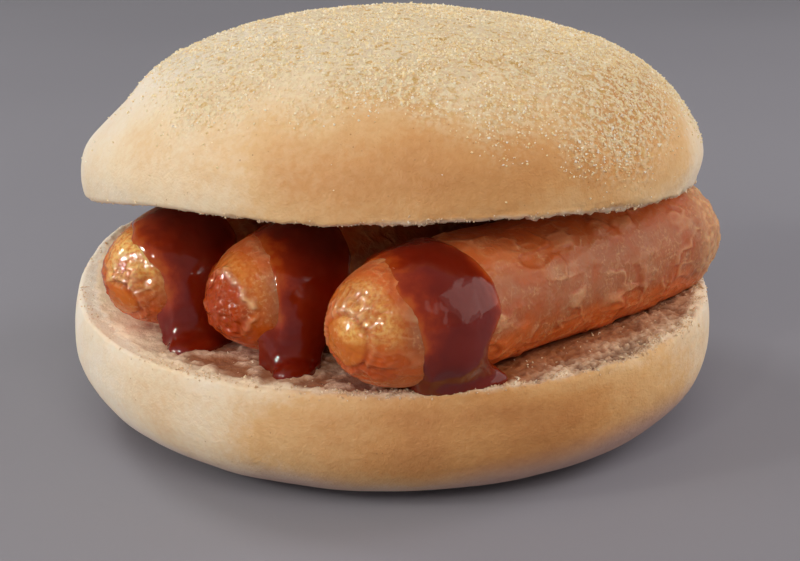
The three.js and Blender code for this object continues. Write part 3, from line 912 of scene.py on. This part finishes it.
class Look:
    """A material on one Principled shader. Each method adds nodes and returns their output.
    A value is a number, such an output, or the name of one of the mesh's attributes."""

    def __init__(self, name, glow=None, **settings):
        """glow is the share, colour and depth of the light that goes under the surface."""
        self.material = bpy.data.materials.new(name)
        self.material.use_nodes = True
        self.tree = self.material.node_tree
        self.shader = self.tree.nodes["Principled BSDF"]
        if glow:
            share, radius, depth = glow
            settings.update(Subsurface_Weight=share, Subsurface_Radius=radius)
            settings.update(Subsurface_Scale=depth * MM)
        for key, value in settings.items():
            self.shader.inputs[key.replace("_", " ")].default_value = value

    def add(self, kind, inputs=(), **options):
        node = self.tree.nodes.new("ShaderNode" + kind)
        for key, value in options.items():
            setattr(node, key, value)
        for key, value in dict(inputs).items():
            self.join(value, node.inputs[key])
        return node

    def join(self, value, socket):
        if isinstance(value, str):
            value = self.add("Attribute", attribute_name=value).outputs["Fac"]
        if isinstance(value, bpy.types.NodeSocket):
            self.tree.links.new(value, socket)
        else:
            socket.default_value = value

    def texture(self, kind, output, size, **inputs):
        place = self.add("TexCoord").outputs["Object"]
        inputs.update(Vector=place, Scale=1 / (MM * size))
        return self.add("Tex" + kind, inputs).outputs[output]

    def noise(self, size, detail=3, *span):
        """Noise from 0 to 1 whose lumps are about size millimetres across, or a span of it."""
        value = self.texture("Noise", "Fac", size, Detail=detail)
        return self.span(value, *span) if span else value

    def cells(self, size):
        """Distance to the nearest of many centres about size millimetres apart."""
        return self.texture("Voronoi", "Distance", size)

    def math(self, operation, result, *others):
        """Values joined one after another by an operation."""
        for value in others:
            result = self.add("Math", {0: result, 1: value}, operation=operation).outputs[0]
        return result

    def times(self, *values):
        return self.math("MULTIPLY", *values)

    def plus(self, *values):
        return self.math("ADD", *values)

    def span(self, value, low, high, to_low=0, to_high=1):
        inputs = {"Value": value, "From Min": low, "From Max": high, "To Min": to_low, "To Max": to_high}
        return self.add("MapRange", inputs, interpolation_type="SMOOTHSTEP").outputs["Result"]

    def ramp(self, value, *colours):
        """A colour picked by a value from an evenly spaced row of screen colours."""
        node = self.add("ValToRGB", {"Fac": value})
        stops = node.color_ramp.elements
        while len(stops) < len(colours):
            stops.new(0.5)
        for i, colour in enumerate(colours):
            stops[i].position = i / (len(colours) - 1)
            stops[i].color = linear(colour)
        return node.outputs["Color"]

    def mix(self, share, *colours):
        node = self.add("Mix", data_type="RGBA", blend_type="MIX")
        self.join(share, node.inputs[0])
        for colour, socket in zip(colours, node.inputs[6:8]):
            self.join(linear(colour) if isinstance(colour, int) else colour, socket)
        return node.outputs[2]

    def layered(self, colour, *layers):
        """A colour with others over it, each given first and then the shares that thin it."""
        for tint, *shares in layers:
            colour = self.mix(self.times(*shares), colour, tint)
        return colour

    def bump(self, height, depth):
        """Relief in the surface, depth millimetres deep."""
        return self.add("Bump", {"Height": height, "Distance": depth * MM}).outputs["Normal"]

    def finish(self, colour, roughness, normal):
        for key, value in (("Base Color", colour), ("Roughness", roughness), ("Normal", normal)):
            self.join(value, self.shader.inputs[key])
        return self.material


def bread_look(name, creams, *crust_layers):
    """Crust from cream to golden brown by how toasted it is, and porous pale crumb with painted shade.
    """
    look = Look(name, (0.12, (1, 0.55, 0.3), 2.2), Specular_IOR_Level=0.32)
    fine = look.noise(1.2, 4)
    clumps = look.noise(0.9, 3)
    mottle = look.noise(12, 4, 0.3, 0.7, -0.07, 0.07)
    toast = look.plus("toast", mottle, look.span(fine, 0.3, 0.7, -0.035, 0.035))
    crust = look.layered(
        look.ramp(toast, *creams),
        (0x966034, look.span(look.cells(1.5), 0.13, 0.05), look.noise(6, 3, 0.45, 0.6), 0.55),
        (0xF0DEB8, "dust", look.span(clumps, 0.4, 0.62, 0, 0.85)),
        (0xD8AE68, "dust", look.noise(1.3, 3, 0.54, 0.68, 0, 0.75)),
        *crust_layers,
    )
    crumb = look.layered(
        look.ramp(look.noise(1.1, 5), 0x8E6042, 0xC49874, 0xECCEAE, 0xFAECD4),
        # Shade painted into the crumb's hollows.
        (0x6C422A, "pore", 0.8),
        # Juice brown beside the sausages with painted shade over it, darkest right next to them.
        (0xA25820, "stain", 0.8),
        (0x783A14, look.span("stain", 0.6, 1, 0, 0.3)),
        (0xEECEB0, look.noise(1.2, 5, 0.35, 0.6, 0.4, 1), "flakes", 0.75),
        # Pale cut edge and left end, partly painted light against the shade under the crown.
        (0xF6E0C0, "edge", 0.9),
    )
    relief = look.plus(
        look.times(look.noise(3.0, 4), 0.6),
        look.times(look.noise(0.4, 3), 0.22),
        look.times("dust", clumps, 1.6),
    )
    colour = look.mix("crumb", crust, crumb)
    return look.finish(colour, look.span(fine, 0.3, 0.7, 0.68, 0.86), look.bump(relief, 0.65))


def grain_look(name, glow, tints, spots, rough, grit):
    """Grains that each have a tint. Spots have a colour, size and share, grit a size and depth."""
    look = Look(name, glow)
    spot_colour, spot_size, spot_share = spots
    grit_size, grit_depth = grit
    spotted = look.noise(spot_size, 2, 0.35, 0.7, 0, spot_share)
    colour = look.mix(spotted, look.ramp("tint", *tints), spot_colour)
    roughness = look.noise(0.8, 2, 0.3, 0.7, *rough)
    return look.finish(colour, roughness, look.bump(look.noise(grit_size, 2), grit_depth))


def sausage_look():
    """Fried orange brown casing, painted pinkish beige on its side as sheen, dark in creases as shade.
    """
    look = Look("sausage_look", (0.42, (1, 0.32, 0.12), 2.6), Specular_IOR_Level=0.36)
    fine = look.noise(0.6, 5)
    # Random frying patches, with light painted by side: a paler sheen band along the middle, deeper
    # orange underneath and on top, paler towards the tail.
    fried_and_painted_sheen = look.plus(
        look.times(look.noise(13, 4), 0.4),
        look.times(look.noise(4, 4), 0.3),
        look.span("side", -0.9, 0.1, -0.08, 0.24),
        look.span("side", 0.45, 1, 0, -0.1),
        look.times("tail", 0.12),
    )
    skins = (0xD0601E, 0xBC5B22, 0xAA572A, 0xA86844)
    golden = look.layered(
        look.ramp(look.noise(2.4, 4), 0xB84A08, 0xCA6414, 0xDC8A30),
        # Painted glow, redder orange underneath; painted shade, redder on the side away from the lights.
        (0xCC4A08, look.span("side", -0.1, -0.9, 0, 0.8)),
        (0xCA5212, look.span("lit", 0, 0.6, 0.45, 0)),
    )
    web = look.noise(0.7, 6, 0.32, 0.66, 0.2, 1)
    dry = look.noise(1.4, 5, 0.3, 0.7, 0.2, 0.75)
    line = look.math("ABSOLUTE", look.math("SUBTRACT", look.noise(3.4, 4), 0.5), 0)
    crinkles = look.times(
        look.span(line, 0, 0.04, 1, 0),
        look.noise(8, 2, 0.4, 0.6),
        look.span("end", 0, 0.5, 1, 0),
    )
    colour = look.layered(
        look.ramp(look.span(fried_and_painted_sheen, 0.34, 0.66), *skins),
        # Painted light: brighter orange on top, where light bounces in under the crown.
        (0xD66C30, look.span("side", 0.42, 0.92, 0, 0.8), look.span("tail", 0, 1, 1, 0.2)),
        (golden, "end", 0.9),
        (0xD47C28, "disc", 0.6),
        # A pale dry web, painted only on the side towards the lights.
        (0xF4C876, web, "lit", look.span("end", 0, 1, 0, 0.72)),
        (0xB03E02, "meat", 0.95),
        (0xECBE86, look.span(fine, 0.48, 0.72), look.noise(4, 3, 0.45, 0.65, 0, 0.4)),
        (0xE6B884, look.span("tail", 0.5, 1), dry),
        # Painted highlights on the raised lines, fainter underneath, and painted shade in the creases.
        (0xF0C694, "painted_ridge_highlight", look.span("side", -0.6, 0, 0.15, 0.58)),
        (0xA63E0A, "painted_crease_shade", 0.6),
        (0xEEC492, crinkles, 0.15),
    )
    relief = look.plus(
        look.times(fine, look.span("end", 0, 1, 0.6, 0.08)),
        look.times(look.noise(1.3, 1), 0.8),
        look.times(crinkles, 0.25),
        look.times(look.noise(0.9, 0), look.plus(look.times("meat", 1.8), 0.9), "end"),
    )
    dull = look.noise(1.2, 3, 0.4, 0.7, -0.02, 0.06)
    roughness = look.plus(look.span("end", 0, 1, 0.35, 0.05), dull)
    return look.finish(colour, roughness, look.bump(relief, 0.2))


def sauce_look():
    """Thick glossy sauce: nearly black red where deep, clear orange red where thin."""
    glow = (0.3, (1, 0.18, 0.06), 1.6)
    look = Look("sauce_look", glow, Coat_Weight=0.3, Coat_Roughness=0.03, IOR=1.4)
    depth = look.plus("depth", look.noise(3, 3, 0.3, 0.7, -0.2, 0.2))
    films = (0xB4541A, 0xA0380D, 0x8C2808, 0x7E1F06, 0x761A05, 0x6C1504)
    colour = look.ramp(look.span(depth, -0.15, 1.25), *films)
    roughness = look.noise(2.5, 3, 0.35, 0.7, 0.05, 0.11)
    return look.finish(colour, roughness, look.bump(look.noise(5, 2), 0.6))


# ---------- stage, lights and camera

LENS = 76.1
CAMERA = (0, 17.75, 0.3258)  # azimuth and elevation in degrees, distance in metres
FLOOR_SIDE = 1500  # from its middle to each side
SKY = 0xF4F0EC
SKY_STRENGTH = 0.31

# Name, (azimuth, elevation, distance), (width, height), watts, colour, and whether a light is seen
# in what it lights ("light"), in glossy reflections ("gloss") or in both.
LIGHTS = [
    ("key", (-128, 46, 0.9), (0.3, 0.3), 2.2, (1, 0.98, 0.94), "light"),
    ("left", (-66, 15, 0.8), (0.3, 0.4), 2.2, (1, 0.98, 0.95), "light"),
    ("front", (5, 42, 0.9), (0.6, 0.4), 3.0, (1, 0.95, 0.89), "light"),
    ("rim", (106, 26, 0.8), (0.3, 0.3), 1.5, (0.98, 0.96, 1), "light"),
    ("card", (84, 22, 0.7), (0.9, 0.56), 1.4, (1, 0.9, 0.86), "both"),
    ("lamp_a", (-60, 26, 0.8), (0.045, 0.045), 7.5, (1, 0.98, 0.95), "gloss"),
    ("lamp_b", (-26, 30, 0.8), (0.045, 0.045), 6.5, (1, 0.98, 0.95), "gloss"),
]


def aimed(thing, target, azimuth, elevation, distance):
    """Puts a lamp or camera round a target, looking at it. Azimuth 0 is in front of the roll and
    90 at its right. Distances are in metres."""
    azimuth, elevation = math.radians(azimuth), math.radians(elevation)
    flat = distance * math.cos(elevation)
    step = (flat * math.sin(azimuth), -flat * math.cos(azimuth), distance * math.sin(elevation))
    place = target + Vector(step)
    turn = (target - place).to_track_quat("-Z", "Y").to_matrix().to_4x4()
    thing.matrix_world = Matrix.Translation(place) @ turn
    bpy.context.scene.collection.objects.link(thing)


def make_camera(target):
    data = bpy.data.cameras.new("camera")
    data.lens = LENS
    data.sensor_width = 36
    data.clip_start = 0.01
    camera = bpy.data.objects.new("camera", data)
    aimed(camera, target, *CAMERA)
    bpy.context.scene.camera = camera


def make_floor():
    corners = FLOOR_SIDE * np.array([(-1, -1, 0), (1, -1, 0), (1, 1, 0), (-1, 1, 0)])
    floor = mesh_object("floor", corners, [[(0, 1, 2, 3)]])
    look = Look("floor_look")
    colour = look.mix(look.noise(400, 2, 0.3, 0.7), 0x85848C, 0x8C8B93)
    floor.data.materials.append(look.finish(colour, 0.85, look.bump(look.noise(30, 2), 0.02)))


def make_lights(target):
    world = bpy.data.worlds.new("world")
    world.use_nodes = True
    sky = world.node_tree.nodes["Background"]
    sky.inputs["Color"].default_value = linear(SKY)
    sky.inputs["Strength"].default_value = SKY_STRENGTH
    bpy.context.scene.world = world
    bpy.context.scene.view_settings.view_transform = "Standard"
    for name, place, size, watts, colour, seen in LIGHTS:
        data = bpy.data.lights.new(name, "AREA")
        data.shape = "RECTANGLE"
        data.size, data.size_y = size
        data.energy = watts
        data.color = colour
        lamp = bpy.data.objects.new(name, data)
        lamp.visible_glossy = seen != "light"
        lamp.visible_diffuse = seen != "gloss"
        aimed(lamp, target, *place)


# ---------- the whole roll

def placed(piece, look, slot, *nodes):
    """Gives a piece its material, puts it under the root and hides the CAD nodes it stands for."""
    piece.data.materials.append(look)
    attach(piece, "root")
    if nodes:
        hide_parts(*nodes)


heel_box = [Vector(corner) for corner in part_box("roll_heel")]
view_target = (heel_box[0] + heel_box[1]) / 2 + Vector((1.4, -0.2, 0)) * MM
view_target.z = 23.6 * MM
make_camera(view_target)
make_lights(view_target)
make_floor()

crown, crown_surface = half_object("crown")
heel, heel_surface = half_object("heel")
crown_creams = (0xF0E2CE, 0xECD5B2, 0xE2B882, 0xD49C60, 0xC28448)
heel_creams = (0xF0E4D2, 0xEAD2B0, 0xDCAE76, 0xCC9256, 0xB4743E)
# Painted shade: the heel's lower crust greyed as in the floor's shade and reflection.
painted_underside_shade = (0xB89892, "under", 0.85)
placed(crown, bread_look("crown_look", crown_creams), "bread", "roll_crown")
placed(heel, bread_look("heel_look", heel_creams, painted_underside_shade), "bread", "roll_heel")

semolina_tints = (0xE8C080, 0xF0D498, 0xF4DEAA, 0xF8E8C4, 0xFCF4E2)
crumb_tints = (0xCCA27A, 0xDCBA94, 0xE8CCA8, 0xF6E4C8)
white_spots, brown_spots = (0xFFFAEC, 0.5, 0.3), (0xD6B286, 0.6, 0.4)
semolina_glow, crumbs_glow = (0.2, (1, 0.8, 0.5), 0.4), (0.25, (1, 0.7, 0.45), 0.8)
semolina_look = grain_look(
    "semolina_look", semolina_glow, semolina_tints, white_spots, rough=(0.45, 0.7), grit=(0.2, 0.05)
)
crumbs_look = grain_look(
    "crumbs_look", crumbs_glow, crumb_tints, brown_spots, rough=(0.7, 0.9), grit=(0.3, 0.08)
)
crumb_places = [(CRUMBS[0], *crown_surface), (CRUMBS[1], *heel_surface)]
placed(semolina_object(*crown_surface), semolina_look, "bread")
placed(crumbs_object(crumb_places), crumbs_look, "bread")

casing = sausage_look()
for sausage in SAUSAGES:
    placed(sausage_object(sausage), casing, "sausage", sausage)
placed(sauce_object(), sauce_look(), "sauce", "sauce")
